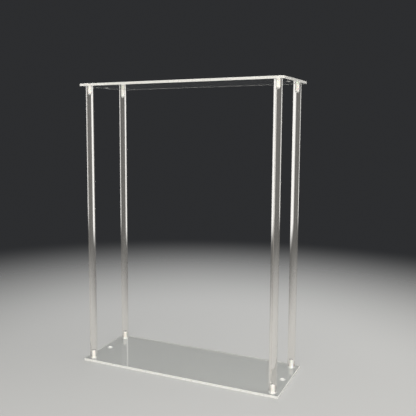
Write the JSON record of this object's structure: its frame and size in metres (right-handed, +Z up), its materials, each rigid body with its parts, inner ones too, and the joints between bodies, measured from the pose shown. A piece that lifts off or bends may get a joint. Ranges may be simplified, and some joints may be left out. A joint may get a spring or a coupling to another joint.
{
  "type": "display stand",
  "caption": "Free-standing clear acrylic display stand: rectangular base and top plates held apart by round corner posts with white countersunk screws.",
  "frame": {"origin": "middle of the base plate's underside, on the surface that the stand rests on", "axes": "+Z up, X along the long side, +Y from the front to the back"},
  "size_m": [0.435, 0.17, 0.6],
  "materials": {
    "clear_acrylic": "polished",
    "white_nylon": "satin"
  },
  "bodies": {
    "root": {"base_plate": "clear_acrylic", "top_plate": "clear_acrylic", "post_front_left": "clear_acrylic", "post_front_right": "clear_acrylic", "post_rear_left": "clear_acrylic", "post_rear_right": "clear_acrylic", "screw_base_front_left": "white_nylon", "screw_base_front_right": "white_nylon", "screw_base_rear_left": "white_nylon", "screw_base_rear_right": "white_nylon", "screw_top_front_left": "white_nylon", "screw_top_front_right": "white_nylon", "screw_top_rear_left": "white_nylon", "screw_top_rear_right": "white_nylon"}
  },
  "joints": []
}
